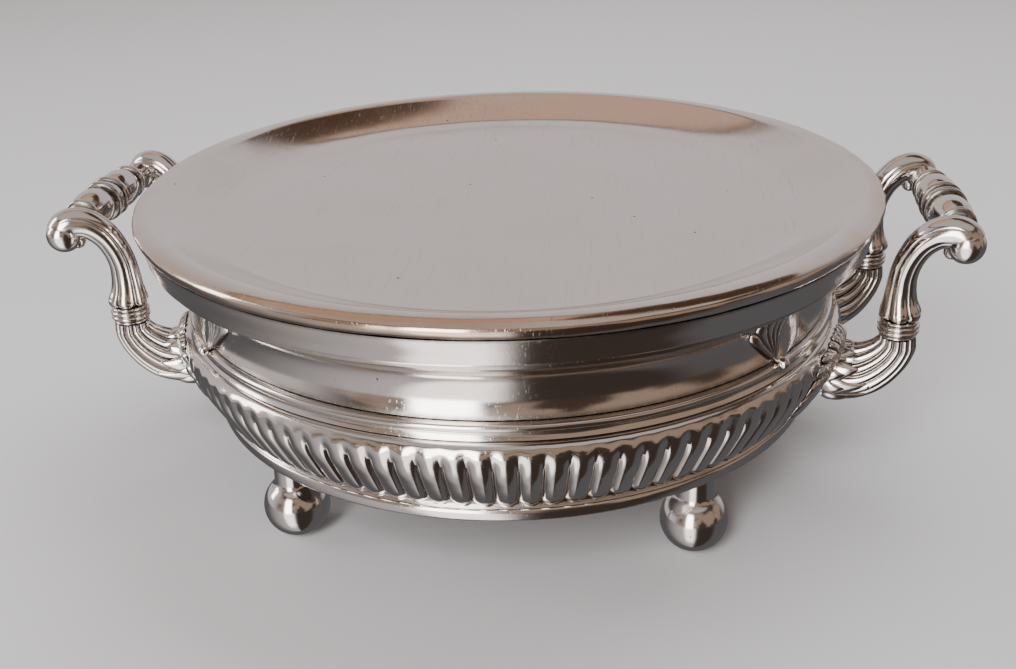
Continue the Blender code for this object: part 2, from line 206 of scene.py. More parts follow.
def scratches(tree, vector, turn, scale, low, high):
    """Fine, nearly parallel lines: noise that is stretched along one direction."""
    mapping = tree.nodes.new("ShaderNodeMapping")
    mapping.inputs["Rotation"].default_value = turn
    mapping.inputs["Scale"].default_value = scale
    link(tree, vector, mapping.inputs["Vector"])
    return ramp(tree, noise(tree, mapping.outputs["Vector"], 1.0, 2.0, 0.5), low, high)


def silver(name, colour, roughness, dull, tarnish, scratch, bump):
    """Old silver plate: satin wear, hairline scratches, warm tarnish, and painted shade in recesses."""
    material = bpy.data.materials.new(name)
    material.use_nodes = True
    tree = material.node_tree
    shader = tree.nodes["Principled BSDF"]
    shader.inputs["Metallic"].default_value = 1.0
    place = tree.nodes.new("ShaderNodeTexCoord").outputs["Object"]
    cloud = noise(tree, place, 28.0, 5.0, 0.6)
    speckle = noise(tree, place, 420.0, 4.0, 0.6)
    first = scratches(tree, place, (0.0, 0.0, 0.35), (1500.0, 26.0, 600.0), 0.66, 0.74)
    second = scratches(tree, place, (0.0, 0.0, -0.9), (1900.0, 34.0, 700.0), 0.67, 0.75)
    third = scratches(tree, place, (0.0, 0.0, 1.7), (1100.0, 18.0, 500.0), 0.69, 0.76)
    lines = maths(tree, "MAXIMUM", maths(tree, "MAXIMUM", first, second), third)
    tarnished = maths(tree, "MULTIPLY", ramp(tree, cloud, 0.42, 0.72), tarnish)
    warm = mix_colour(tree, tarnished, colour, tuple(part * shade for part, shade in
                                                      zip(colour, (0.80, 0.70, 0.58))))
    spotted = mix_colour(tree, ramp(tree, speckle, 0.66, 0.80, 0.0, 0.35), warm, (0.30, 0.25, 0.20))
    scored = mix_colour(tree, maths(tree, "MULTIPLY", lines, 0.25 * scratch), spotted, (0.42, 0.38, 0.34))
    cells = tree.nodes.new("ShaderNodeTexVoronoi")
    cells.inputs["Scale"].default_value = 75.0
    link(tree, place, cells.inputs["Vector"])
    chosen = tree.nodes.new("ShaderNodeSeparateColor")
    link(tree, cells.outputs["Color"], chosen.inputs["Color"])
    spot = maths(tree, "ADD", cells.outputs["Distance"], maths(tree, "MULTIPLY", speckle, 0.035))
    pits = maths(tree, "MULTIPLY", ramp(tree, spot, 0.045, 0.070, 1.0, 0.0),
                 maths(tree, "GREATER_THAN", chosen.outputs["Red"], 0.62))
    pitted = mix_colour(tree, pits, scored, (0.055, 0.040, 0.030))
    thin = tree.nodes.new("ShaderNodeAttribute")
    thin.attribute_name = "wear"
    bare = maths(tree, "MULTIPLY", thin.outputs["Fac"], ramp(tree, cloud, 0.30, 0.60, 0.45, 1.0))
    marked = mix_colour(tree, bare, pitted, (0.60, 0.45, 0.34))
    # Painted shade: a mesh attribute darkens grooves, creases and the places under lips towards a near-black
    # brown, and also roughens them a little.
    layer = tree.nodes.new("ShaderNodeAttribute")
    layer.attribute_name = "painted_shade"
    ragged = maths(tree, "MULTIPLY", layer.outputs["Fac"], ramp(tree, speckle, 0.30, 0.60, 0.75, 1.0))
    shaded = mix_colour(tree, ragged, marked, (0.065, 0.050, 0.038))
    link(tree, shaded, shader.inputs["Base Color"])
    worn = maths(tree, "ADD", ramp(tree, cloud, 0.35, 0.70, roughness, roughness + dull),
                 maths(tree, "MULTIPLY", lines, 0.16 * scratch))
    rough = maths(tree, "ADD", worn, maths(tree, "MULTIPLY", layer.outputs["Fac"], 0.22))
    link(tree, rough, shader.inputs["Roughness"])
    relief = maths(tree, "ADD", maths(tree, "MULTIPLY", speckle, 0.35),
                   maths(tree, "ADD", maths(tree, "MULTIPLY", lines, -0.5 * scratch),
                         maths(tree, "MULTIPLY", pits, -3.0)))
    dents = tree.nodes.new("ShaderNodeBump")
    dents.inputs["Strength"].default_value = 0.5
    dents.inputs["Distance"].default_value = 0.0012
    link(tree, noise(tree, place, 17.0, 2.0, 0.4), dents.inputs["Height"])
    fine = tree.nodes.new("ShaderNodeBump")
    fine.inputs["Strength"].default_value = bump
    fine.inputs["Distance"].default_value = 0.00006
    link(tree, relief, fine.inputs["Height"])
    link(tree, dents.outputs["Normal"], fine.inputs["Normal"])
    link(tree, fine.outputs["Normal"], shader.inputs["Normal"])
    return material


def brass(name):
    material = bpy.data.materials.new(name)
    material.use_nodes = True
    tree = material.node_tree
    shader = tree.nodes["Principled BSDF"]
    shader.inputs["Metallic"].default_value = 1.0
    place = tree.nodes.new("ShaderNodeTexCoord").outputs["Object"]
    cloud = noise(tree, place, 300.0, 5.0, 0.6)
    colour = mix_colour(tree, ramp(tree, cloud, 0.35, 0.70), (0.62, 0.45, 0.20), (0.28, 0.17, 0.08))
    link(tree, colour, shader.inputs["Base Color"])
    link(tree, ramp(tree, cloud, 0.30, 0.70, 0.28, 0.55), shader.inputs["Roughness"])
    return material


SATIN = (silver("satin_plate", (0.76, 0.715, 0.685), 0.11, 0.06, 0.15, 0.8, 0.4), "satin_silver")
BRIGHT = (silver("bright_plate", (0.72, 0.67, 0.635), 0.10, 0.07, 0.35, 0.6, 0.35), "bright_silver")
CAST = (silver("cast_plate", (0.72, 0.68, 0.65), 0.09, 0.08, 0.35, 0.4, 0.3), "cast_silver")
LINER = (silver("liner_plate", (0.78, 0.76, 0.73), 0.30, 0.10, 0.20, 1.0, 0.4), "liner_silver")
BRASS = (brass("bare_brass_plate"), "bare_brass")


def low_high(node):
    """The two corners of a node's box in the frame."""
    low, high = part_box(node)
    return np.array(low), np.array(high)


# The cover.

ROLL_RADIUS = 0.0033
ROLL_SHEET = 0.0009
CROWN_WIDTH = 0.0070        # flattened top of the rolled rim
CROWN_POWER = 0.86          # below 1 squares the crown's corner
WELL_RADIUS = 0.1180
WELL_HEIGHT = 0.1125
SIDE_POWER = 1.32           # above 1 hollows the cover's rising side
SKIRT_TOP_RADIUS = 0.1478
SKIRT_FOOT_RADIUS = 0.1462
LINER_RADIUS = 0.1240
LINER_CORNER = 0.015


def build_cover():
    _, high = low_high("cover_dish")
    centre = (high[0] - ROLL_RADIUS, high[2] - ROLL_RADIUS)
    crown = []
    for angle in np.radians(np.linspace(90, 0, 22)):
        crown.append((high[0] - CROWN_WIDTH + CROWN_WIDTH * math.cos(angle) ** CROWN_POWER,
                      centre[1] + ROLL_RADIUS * math.sin(angle) ** CROWN_POWER))
    crest = (high[0] - 0.0092, high[2] - 0.0003)
    roll = [crest] + crown + arc(centre, (ROLL_RADIUS, ROLL_RADIUS), -7, -132, 18)
    bore = ROLL_RADIUS - ROLL_SHEET
    inner = arc(centre, (bore, bore), -132, 112, 20)
    run = crest[0] - WELL_RADIUS
    rise = crest[1] - WELL_HEIGHT
    side = [(WELL_RADIUS + run * share, WELL_HEIGHT + rise * share ** SIDE_POWER)
            for share in np.linspace(0, 1, 15)[:-1]]
    well = [(radius, WELL_HEIGHT) for radius in np.linspace(0, WELL_RADIUS, 16)[:-1]]
    top = well + side
    under = [(radius, height - SHEET) for radius, height in top[::-1]]

    def dents(radius, height, turn):
        """The rolled edge is slightly uneven."""
        edge = np.clip((radius - 0.142) / 0.004, 0, 1)
        wave = 0.00012 * np.sin(turn * 9 + 1.3) + 0.00009 * np.sin(turn * 23)
        ripple = 0.00006 * np.sin(turn * 57 + 2)
        return edge * (wave + ripple - 0.0002)

    # Painted shade: a thin dark line round the outer part of the rolled rim, 2.8 mm above the well.
    def shade(radius, height, turn):
        shade_line = np.exp(-((height - (WELL_HEIGHT + 0.0028)) / 0.0005) ** 2) * (radius > 0.1465)
        return 0.55 * shade_line

    def thin(radius, height, turn):
        """The plate is worn through to the warm metal on the rolled edge."""
        patches = 0.75 + 0.15 * np.sin(turn * 3 + 0.6) + 0.10 * np.sin(turn * 8 + 2.0)
        return patches * np.clip((radius - 0.1425) / 0.006, 0, 1)

    dish = lathe("cover_dish_fine", top + roll + inner + under, "cover", SATIN, ring=False,
                 relief=dents, painted_shade=shade, wear=thin)
    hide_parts("cover_dish")


def build_skirt():
    low, high = low_high("cover_skirt")
    top, foot = high[2], low[2]
    outer = smooth_line([(SKIRT_TOP_RADIUS, top), (0.1474, top - 0.0028), (0.1467, foot + 0.0030),
                         (0.14635, foot + 0.0010), (SKIRT_FOOT_RADIUS, foot + 0.0002)], 4)
    inner = [(SKIRT_FOOT_RADIUS - 0.0006, foot), (SKIRT_FOOT_RADIUS - 0.0013, foot + 0.0003),
             (0.1450, foot + 0.003), (SKIRT_TOP_RADIUS - 0.0015, top)]

    def waves(radius, height, turn):
        return 0.00008 * np.sin(turn * 7 + 0.5) + 0.00005 * np.sin(turn * 19 + 2.0) - 0.00013

    # Painted shade: the top of the skirt darkens where the rolled rim overhangs it.
    def shade(radius, height, turn):
        return 0.8 * np.clip((height - top + 0.0009) / 0.0009, 0, 1)

    skirt = lathe("cover_skirt_fine", outer + inner, "cover", BRIGHT, relief=waves, painted_shade=shade)
    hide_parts("cover_skirt")


def build_liner():
    low, high = low_high("liner_pan")
    rim, foot, top = high[0], low[2], high[2]
    wall = LINER_RADIUS
    corner = (wall - 0.017, foot + LINER_CORNER)
    bend = arc(corner, (LINER_CORNER, LINER_CORNER), 0, -90, 14)
    inner_radius = LINER_CORNER - SHEET
    inner_bend = arc(corner, (inner_radius, inner_radius), -90, 0, 14)
    flange = [(wall - SHEET, top - 0.001), (wall - SHEET + 0.0008, top), (rim - 0.0004, top),
              (rim, top - 0.0004), (rim, top - 0.0009), (rim - 0.0004, top - 0.0012), (wall, top - 0.0012)]
    outline = [(0.0, foot + SHEET)] + inner_bend + flange + bend + [(0.0, foot)]
    pan = lathe("liner_pan_fine", outline, "liner", LINER, ring=False)
    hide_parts("liner_pan")


# The body.

COVE_CENTRE = (0.1530, 0.0885)      # centre of the neck's hollow curve
COVE_DEPTH = 0.0240
COVE_RISE = 0.0162
COVE_DROP = 0.0232
SPIGOT_RADIUS = 0.1430      # upstand on the neck that the skirt drops over
LIP_HEIGHT = 0.1056
WALL = 0.0015               # neck wall


def cove(count):
    """The neck's hollow curve, from under the lip down to the shoulder bead."""
    upper = arc(COVE_CENTRE, (-COVE_DEPTH, COVE_RISE), 68, 0, count)
    lower = arc(COVE_CENTRE, (-COVE_DEPTH, COVE_DROP), 0, -25, count)
    return upper + lower[1:]


def build_neck():
    _, high = low_high("body_neck")
    hollow = cove(14)
    lip, spigot = LIP_HEIGHT, SPIGOT_RADIUS
    outer = [(spigot - 0.0004, high[2]), (spigot, high[2] - 0.0004), (spigot, lip + 0.0003),
             (spigot + 0.0004, lip), (0.1440, lip), (0.1443, lip - 0.0004)] + hollow
    inner = [(spigot - WALL, lip - WALL)] + offset_line(hollow, -WALL)[1:]
    inner[-1] = (inner[-1][0], hollow[-1][1])

    # Painted shade: darker under the lip, and a narrow dark line at the foot of the hollow above the bead.
    def shade(radius, height, turn):
        under_lip = np.clip((height - 0.1010) / 0.004, 0, 1)
        foot = np.exp(-((height - 0.0787) / 0.0011) ** 2)
        return 0.75 * np.maximum(under_lip * 0.5, foot)

    mouth = [(spigot - WALL, high[2] - 0.0002)]
    neck = lathe("body_neck_fine", outer + inner[::-1] + mouth, "body", BRIGHT, painted_shade=shade)
    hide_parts("body_neck")


def build_bead():
    """A round bead that runs out into a hollow fillet over the gadroons."""
    bead = (smooth_line([(0.1312, 0.0784), (0.1317, 0.0783)], 2)
            + arc((0.1317, 0.0762), (0.0019, 0.0018), 76, -58, 12)
            + smooth_line([(0.1328, 0.0743), (0.1330, 0.0735), (0.1337, 0.0722)], 4))
    inside = [(0.1285, bead[-1][1]), (0.1285, bead[0][1])]

    # Painted shade: thin dark lines just above and below the bead.
    def shade(radius, height, turn):
        first = np.exp(-((height - 0.0782) / 0.0003) ** 2)
        second = np.exp(-((height - 0.0744) / 0.0003) ** 2)
        return np.maximum(first, second) * (radius > 0.129) * 0.6

    ring = lathe("shoulder_bead_fine", bead + inside, "body", BRIGHT, painted_shade=shade, sharp=65)
    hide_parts("shoulder_bead")


# The belly's outer line, from the shoulder down to the base band.
BELLY = [(0.1337, 0.0719), (0.1350, 0.0714), (0.1363, 0.0702), (0.1374, 0.0681), (0.1377, 0.0652),
         (0.1362, 0.0590), (0.1333, 0.0530), (0.1300, 0.0470), (0.1275, 0.0430), (0.1264, 0.0409)]
LOBE_END = 0.0462           # centre height of a gadroon's rounded lower end
LOBE_DEPTH = 0.0021
LOBE_TOP = 0.0714           # where the grooves run out under the shoulder
LOBE_RUNOUT = 0.0118        # height over which they run out
BELLY_RADIUS = 0.1330       # middling radius, which gives a gadroon's width


def build_belly():
    outer = smooth_line(BELLY, 6)
    inside = smooth_line([(0.1238, 0.0409), (0.1262, 0.0470), (0.1318, 0.0590), (0.1334, 0.0650),
                          (0.1293, 0.0718)], 3)
    half_width = math.pi * BELLY_RADIUS / LOBES
    outer_rows = len(outer)

    def gadroon(height, turn):
        """How far the skin stands out, from 0 in a groove to 1 on a gadroon's crest."""
        across = (turn * LOBES / (2 * math.pi)) % 1.0 * 2 - 1
        below = np.clip((LOBE_END - height) / (half_width * 1.05), 0, 1)
        width = np.sqrt(np.clip(1 - below ** 2, 0, 1)) * 0.98
        inside_lobe = np.clip(1 - (across / np.maximum(width, 0.0001)) ** 2, 0, 1)
        gentle = 0.5 + 0.5 * np.cos(math.pi * across)
        formed = np.clip((0.0708 - height) / 0.0100, 0, 1)
        return formed * inside_lobe ** 0.5 * np.sqrt(np.clip(width, 0, 1)) + (1 - formed) * gentle

    def depth(height):
        """The grooves run out under the shoulder and get shallow at the foot."""
        fade = np.clip((LOBE_TOP - height) / LOBE_RUNOUT, 0, 1)
        return LOBE_DEPTH * fade ** 2 * (3 - 2 * fade) * np.clip((height - 0.0405) / 0.0018, 0.2, 1)

    def relief(radius, height, turn):
        moved = depth(height) * (gadroon(height, turn) - 1)
        moved[outer_rows:] = 0
        return moved

    # Painted shade: dark down the grooves between the gadroons, fading where the grooves run out.
    def shade(radius, height, turn):
        dark = np.clip(1 - gadroon(height, turn) * 3.2, 0, 1)
        dark[outer_rows:] = 0
        return 0.5 * dark * depth(height) / LOBE_DEPTH

    belly = lathe("gadrooned_belly_fine", outer + inside, "body", BRIGHT, columns=LOBES * LOBE_FACETS,
                  relief=relief, painted_shade=shade, sharp=70)
    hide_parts("gadrooned_belly")


BAND_WIDTH = 0.0040


def build_base():
    low, high = low_high("base_band")
    radius, top, foot = high[0], high[2], low[2]
    inside = radius - BAND_WIDTH
    outer = [(radius - 0.0010, top), (radius - 0.0004, top - 0.0002), (radius, top - 0.0007),
             (radius, foot + 0.0008), (radius - 0.0002, foot + 0.0002), (radius - 0.0007, foot)]
    band = lathe("base_band_fine", outer + [(inside, foot), (inside, top)], "body", BRIGHT)
    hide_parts("base_band")
    low, high = low_high("bottom_plate")
    radius, top, foot = high[0], high[2], low[2]
    outline = [(0.0, top), (radius * 0.5, top), (radius, top), (radius, foot + 0.0002),
               (radius - 0.0002, foot), (radius * 0.6, foot), (0.0, foot)]
    plate = lathe("bottom_plate_fine", outline, "body", BRIGHT, ring=False)
    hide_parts("bottom_plate")


FOOT_FLAT = 0.0040          # radius of the flat that a ball stands on
FOOT_NECK = 0.0088


def build_feet():
    for place in ("front_left", "front_right", "back_left", "back_right"):
        low, high = low_high("foot_" + place)
        ball = (high[0] - low[0]) / 2 - 0.0003
        centre = math.sqrt(ball ** 2 - FOOT_FLAT ** 2)
        neck_angle = math.degrees(math.acos(FOOT_NECK / ball))
        flat_angle = -math.degrees(math.acos(FOOT_FLAT / ball))
        skin = arc((0.0, centre), (ball, ball), neck_angle, flat_angle, 40)
        skin[-1] = (FOOT_FLAT, 0.0)
        top = high[2]
        flare = smooth_line([(0.0088, top), (0.0087, top - 0.0009), (0.0079, top - 0.0024),
                             (0.0075, top - 0.0045), (0.0077, skin[0][1] + 0.0012)], 5)
        outline = [(0.0, top)] + flare + skin + [(0.0, 0.0)]

        # Painted shade: a dark ring in the crease where the flare meets the ball.
        def shade(radius, height, turn, join=skin[0][1]):
            return 0.35 * np.exp(-((height - join - 0.0005) / 0.0007) ** 2) * (radius > 0.003)

        middle = (low + high) / 2
        foot = lathe("foot_%s_fine" % place, outline, "body", CAST, ring=False, columns=72,
                     place=Matrix.Translation((middle[0], middle[1], 0.0)), painted_shade=shade)
        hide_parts("foot_" + place)


# Handles. Each arm is made in its own upright plane: reach along local +X, and turned about Z.

ARMS = ("left_near", "left_far", "right_near", "right_far")


def arm_frame(name):
    """Turn, reach and heights of an arm's ferrule, and the side that its leaf spreads to."""
    low, high = low_high("ferrule_" + name)
    middle = (low + high) / 2
    turn = math.atan2(middle[1], middle[0])
    hand = 1 if middle[0] * middle[1] > 0 else -1
    return turn, math.hypot(middle[0], middle[1]), low[2], high[2], hand


def turned_points(points, turn, hand):
    """Points of an arm's own plane, mirrored across it for the other hand and turned into place."""
    points = np.asarray(points, dtype=float) * np.array([1.0, hand, 1.0])
    spin = np.array(Matrix.Rotation(turn, 3, "Z"))
    return points @ spin.T


def tube(path, section, around):
    """Grid of points round a bent bar: path rows are (reach, height, radius); section(share, angle)."""
    rows = np.array(smooth_line(path, 8))
    steps = np.gradient(rows[:, :2], axis=0)
    steps /= np.linalg.norm(steps, axis=1)[:, None]
    shares = np.linspace(0, 1, len(rows))
    angles = np.linspace(0, 2 * math.pi, around, endpoint=False)
    out = np.stack([steps[:, 1], -steps[:, 0]], axis=1)
    grid = np.zeros((len(rows), around, 3))
    for index, (reach, height, radius) in enumerate(rows):
        size = radius * section(shares[index], angles)
        grid[index, :, 0] = reach + size * np.cos(angles) * out[index, 0]
        grid[index, :, 1] = size * np.sin(angles)
        grid[index, :, 2] = height + size * np.cos(angles) * out[index, 1]
    return grid, shares, angles


def capped(grid):
    """Vertices and faces of a tube grid with a point at the middle of each end."""
    rows, columns, _ = grid.shape
    points = list(grid.reshape(-1, 3)) + [grid[0].mean(axis=0), grid[-1].mean(axis=0)]
    faces = grid_faces(rows, columns, False, True)
    first, last = rows * columns, rows * columns + 1
    for column in range(columns):
        beside = (column + 1) % columns
        faces.append((first, beside, column))
        faces.append((last, (rows - 1) * columns + column, (rows - 1) * columns + beside))
    return points, faces


class Shells:
    """Collects closed shells, with their painted shade values, into one piece."""

    def __init__(self):
        self.points, self.faces, self.painted_shade = [], [], []

    def add(self, points, faces, painted_shade):
        start = len(self.points)
        self.points += [tuple(point) for point in points]
        self.faces += [tuple(index + start for index in face) for face in faces]
        self.painted_shade += list(painted_shade)

    def make(self, name, turn, hand=1):
        points = turned_points(self.points, turn, hand)
        return build_mesh(name, points, self.faces, "body", CAST, self.painted_shade, 75.0)


def reeds(angles, count, depth):
    """Rounded reeds with narrow grooves between them."""
    return 1 - depth * (1 - np.abs(np.cos(angles * count / 2)) ** 0.55)


# Painted shade down the grooves between reeds.
def groove_shade(angles, count, phase=0.0):
    return np.clip(1 - np.abs(np.cos((angles + phase) * count / 2)) * 2.6, 0, 1)


def petal_ring(shells, path, petals, start, length, lift, around, phase):
    """A calyx that wraps a tube: each petal is a raised tongue with a free tip."""
    grid_rows = 12
    rows = np.array(smooth_line(path, 16))
    steps = np.gradient(rows[:, :2], axis=0)
    steps /= np.linalg.norm(steps, axis=1)[:, None]
    angles = np.linspace(0, 2 * math.pi, around, endpoint=False)
    across = np.abs(((angles + phase) * petals / (2 * math.pi)) % 1.0 * 2 - 1)
    reach = 1 - across ** 1.1 * 0.62
    outer = np.zeros((grid_rows, around, 3))
    inner = np.zeros((grid_rows, around, 3))
    values = np.zeros((grid_rows, around))
    for row in range(grid_rows):
        share = row / (grid_rows - 1)
        at = (start + length * share * reach) * (len(rows) - 1)
        low = np.clip(np.floor(at).astype(int), 0, len(rows) - 2)
        part = (at - low)[:, None]
        centre = rows[low] * (1 - part) + rows[low + 1] * part
        step = steps[low] * (1 - part) + steps[low + 1] * part
        swell = lift * (np.sin(math.pi * min(share * 0.9 + 0.08, 1.0)) ** 0.6) * (1 - 0.55 * across ** 2)
        crease = 0.9 + 0.1 * np.abs(np.cos(across * math.pi / 2)) ** 0.5
        for grid, extra in ((outer, swell * crease), (inner, -0.0004)):
            size = centre[:, 2] * 0.97 + extra
            grid[row, :, 0] = centre[:, 0] + size * np.cos(angles) * step[:, 1]
            grid[row, :, 1] = size * np.sin(angles)
            grid[row, :, 2] = centre[:, 1] - size * np.cos(angles) * step[:, 0]
        # Painted shade between the petals, darkest at their edges.
        values[row] = np.clip((across - 0.72) / 0.28, 0, 1) ** 1.5
    grid = np.concatenate([outer, inner[::-1]], axis=0)
    shades = np.concatenate([values, values[::-1]], axis=0)
    shells.add(grid.reshape(-1, 3), grid_faces(2 * grid_rows, around, True, True), shades.reshape(-1))


BRACKET_REEDS = 13
ARM_REEDS = 6


def bracket_path(reach, top):
    return [(0.1330, 0.0520, 0.0116), (0.1395, 0.0521, 0.0114), (0.1465, 0.0532, 0.0108),
            (0.1518, 0.0561, 0.0098), (0.1562, 0.0603, 0.0086), (reach - 0.0004, 0.0646, 0.0077),
            (reach, 0.0668, 0.0073), (reach, top - GAP, 0.0070)]


def build_bracket(name):
    turn, reach, foot, _, _ = arm_frame(name)
    path = bracket_path(reach, foot)
    shells = Shells()

    def section(share, angles):
        stretch = 1 + 0.05 * (1 - share) * np.cos(2 * angles)
        return reeds(angles, BRACKET_REEDS, 0.20) * stretch

    grid, shares, angles = tube(path, section, BRACKET_REEDS * 16)
    points, faces = capped(grid)
    values = np.repeat(groove_shade(angles, BRACKET_REEDS)[None, :], len(shares), axis=0).reshape(-1)
    shells.add(points, faces, list(values) + [0.0, 0.0])
    petal_ring(shells, path, 9, 0.04, 0.30, 0.0011, 140, 0.2)
    petal_ring(shells, path, 12, 0.02, 0.20, 0.0019, 144, 0.5)
    bracket = shells.make("bracket_%s_fine" % name, turn)
    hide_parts("bracket_" + name)


def build_ferrule(name):
    """Four half-round rings: rows are (middle and half height as shares of the whole, radius)."""
    turn, reach, foot, top, _ = arm_frame(name)
    outline = [(0.0, top), (0.0058, top)]
    tall = top - foot
    rings = ((0.90, 0.09, 0.0073), (0.66, 0.13, 0.0079), (0.36, 0.15, 0.0078), (0.10, 0.09, 0.0071))
    for middle, half, swell in rings:
        outline += arc((swell - 0.0013, foot + middle * tall), (0.0013, half * tall), 86, -86, 9)
    outline += [(0.0058, foot), (0.0, foot)]

    # Painted shade in the hollows between the rings.
    def shade(radius, height, around):
        return np.clip((0.0068 - radius) / 0.0008, 0, 1) * (radius > 0.004)

    place = Matrix.Rotation(turn, 4, "Z") @ Matrix.Translation((reach, 0.0, 0.0))
    ferrule = lathe("ferrule_%s_fine" % name, outline, "body", CAST, ring=False, columns=72, place=place,
                    painted_shade=shade, sharp=60)
    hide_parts("ferrule_" + name)


def arm_path(reach, foot):
    return [(reach, foot + GAP, 0.0068), (reach, foot + 0.0018, 0.0078),
            (reach - 0.0002, foot + 0.0036, 0.0079), (0.1587, 0.0838, 0.0068), (0.1586, 0.0886, 0.0060),
            (0.1590, 0.0950, 0.0055), (0.1608, 0.1015, 0.0054), (0.1642, 0.1076, 0.0056),
            (0.1694, 0.1120, 0.0059), (0.1746, 0.1132, 0.0062), (0.1784, 0.1120, 0.0064),
            (0.1804, 0.1096, 0.0062)]


def build_arm(name):
    turn, reach, _, top, _ = arm_frame(name)
    path = arm_path(reach, top)
    shells = Shells()
    half_reed = math.pi / ARM_REEDS

    def section(share, angles):
        """Broad reeds that end at the foot in rounded lobes and run out towards the scroll."""
        fade = np.clip((0.90 - share) / 0.40, 0, 1) ** 0.7
        wave = np.abs(np.cos((angles + half_reed) * ARM_REEDS / 2)) ** 0.5
        lobe = np.clip((0.17 - share) / 0.17, 0, 1)
        swell = 0.06 * np.sin(math.pi * min(share / 0.16, 1.0)) * wave
        return 1 - (0.13 + 0.16 * lobe) * (1 - wave) * fade + swell

    grid, shares, angles = tube(path, section, ARM_REEDS * 26)
    points, faces = capped(grid)
    # Painted shade down the reed grooves, fading out towards the scroll.
    groove = groove_shade(angles, ARM_REEDS, half_reed)
    fade = np.clip((0.86 - shares) / 0.30, 0, 1)
    shells.add(points, faces, list((fade[:, None] * groove[None, :]).reshape(-1)) + [0.0, 0.0])
    scroll_ball(shells, (0.1796, 0.1086), 0.0070)
    scroll_ball(shells, (0.1748, 0.1056), 0.0030)
    arm = shells.make("arm_%s_fine" % name, turn)
    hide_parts("arm_" + name)


def scroll_ball(shells, centre, radius, shift=0.0):
    """A round knob with full cheeks: the end of a scroll, or the boss that a leaf springs from."""
    columns, rows = 40, 20
    angles = np.linspace(0, 2 * math.pi, columns, endpoint=False)
    points, values = [], []
    for row in range(rows + 1):
        lean = math.pi * (row / rows - 0.5)
        size = radius * abs(math.cos(lean)) ** 0.75
        across = shift + radius * 1.02 * math.sin(lean)
        for angle in angles:
            points.append((centre[0] + size * math.cos(angle), across, centre[1] + size * math.sin(angle)))
            values.append(0.0)
    shells.add(points, grid_faces(rows + 1, columns, False, True), values)


def build_grip(side):
    low, high = low_high("grip_" + side)
    middle = (low + high) / 2
    half = (high[1] - low[1]) / 2
    thick = (high[0] - low[0]) / 2
    rows = [(half, 0.0058), (0.0325, 0.0054), (0.0303, 0.0049), (0.0280, 0.0048), (0.0260, 0.0052)]
    neck = smooth_line(rows, 5)
    ring = arc((0.0238, 0.0062), (0.0014, 0.0014), 0, 180, 12)
    bulb = smooth_line([(0.0222, 0.0056), (0.0205, 0.0066), (0.0175, 0.0078), (0.0135, 0.0082),
                        (0.0095, 0.0078), (0.0068, 0.0068), (0.0052, 0.0062)], 5)
    double = (arc((0.0035, thick - 0.0016), (0.0016, 0.0016), 0, 180, 10)
              + arc((0.0010, thick - 0.0022), (0.0010, 0.0010), 0, 90, 4))
    quarter = neck + ring + bulb + double
    rows = quarter + [(-distance, radius) for distance, radius in quarter[::-1]]
    outline = [(0.0, half)] + [(radius, distance) for distance, radius in rows] + [(0.0, -half)]

    # Painted shade: dark rings in the creases between the turned members.
    def shade(radius, height, turn):
        away = np.abs(height)
        joins = [0.0020, 0.0051, 0.0223, 0.0254]
        return 0.9 * sum(np.exp(-((away - join) / 0.0006) ** 2) for join in joins) * (radius > 0.003)

    place = Matrix.Translation(tuple(middle)) @ Matrix.Rotation(math.pi / 2, 4, "X")
    grip = lathe("grip_%s_fine" % side, outline, "body", CAST, ring=False, columns=80, place=place,
                 painted_shade=shade, sharp=60)
    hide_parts("grip_" + side)


# Leaf mounts: an acanthus spray on the body's skin, modelled as fans of pleats.

LEAF_APEX = (0.0550, 0.0780)        # where the upper fans meet, across and up
LEAF_CROWN = 0.0006         # least thickness of a leaf


def skin_radius(height):
    """Radius of the skin that the leaf mounts lie on."""
    line = cove(20) + [(0.1338, 0.0781)] + BELLY[3:]
    heights = np.array([point[1] for point in line])[::-1]
    radii = np.array([point[0] for point in line])[::-1]
    return np.interp(height, heights, radii)


def fan(shells, centre, tips, pleats, lift=0.0016):
    """Pleats that run from a centre to an outline of tips, given as (angle in degrees, length)."""
    tips = np.array(tips)
    columns = pleats * 10 + 1
    angles = np.linspace(tips[0, 0], tips[-1, 0], columns)
    lengths = np.interp(angles, tips[:, 0], tips[:, 1])
    phase = np.linspace(0, pleats, columns)
    ridge = np.abs(np.sin(phase * math.pi)) ** 0.6
    lengths = lengths * (0.86 + 0.14 * ridge)
    rows = 14
    outer, inner, values = [], [], []
    for row in range(rows):
        share = row / (rows - 1)
        across = centre[0] + lengths * share * np.cos(np.radians(angles))
        height = centre[1] + lengths * share * np.sin(np.radians(angles))
        edge = np.sqrt(np.clip(1 - share ** 6, 0, 1))
        stand = GAP + edge * (LEAF_CROWN + lift * (0.35 + 0.65 * ridge * min(1.0, share * 3 + 0.1)))
        for grid, extra in ((outer, stand), (inner, GAP * 0.5)):
            radius = skin_radius(height) + extra
            reach = np.sqrt(radius ** 2 - across ** 2)
            grid.append(np.stack([reach, across, height], axis=1))
        # Painted shade between the pleats, rising from nothing at the centre.
        values.append(np.clip(1 - ridge * 1.8, 0, 1) * min(1.0, share * 4))
    grid = np.array(outer + inner[::-1])
    shades = np.array(values + values[::-1])
    faces = grid_faces(len(grid), columns, True, False)
    count = rows * 2
    points = list(grid.reshape(-1, 3))
    for column in (0, columns - 1):
        for row in range(rows - 1):
            faces.append((row * columns + column, (row + 1) * columns + column,
                          (count - 2 - row) * columns + column, (count - 1 - row) * columns + column))
    shells.add(points, faces, shades.reshape(-1))


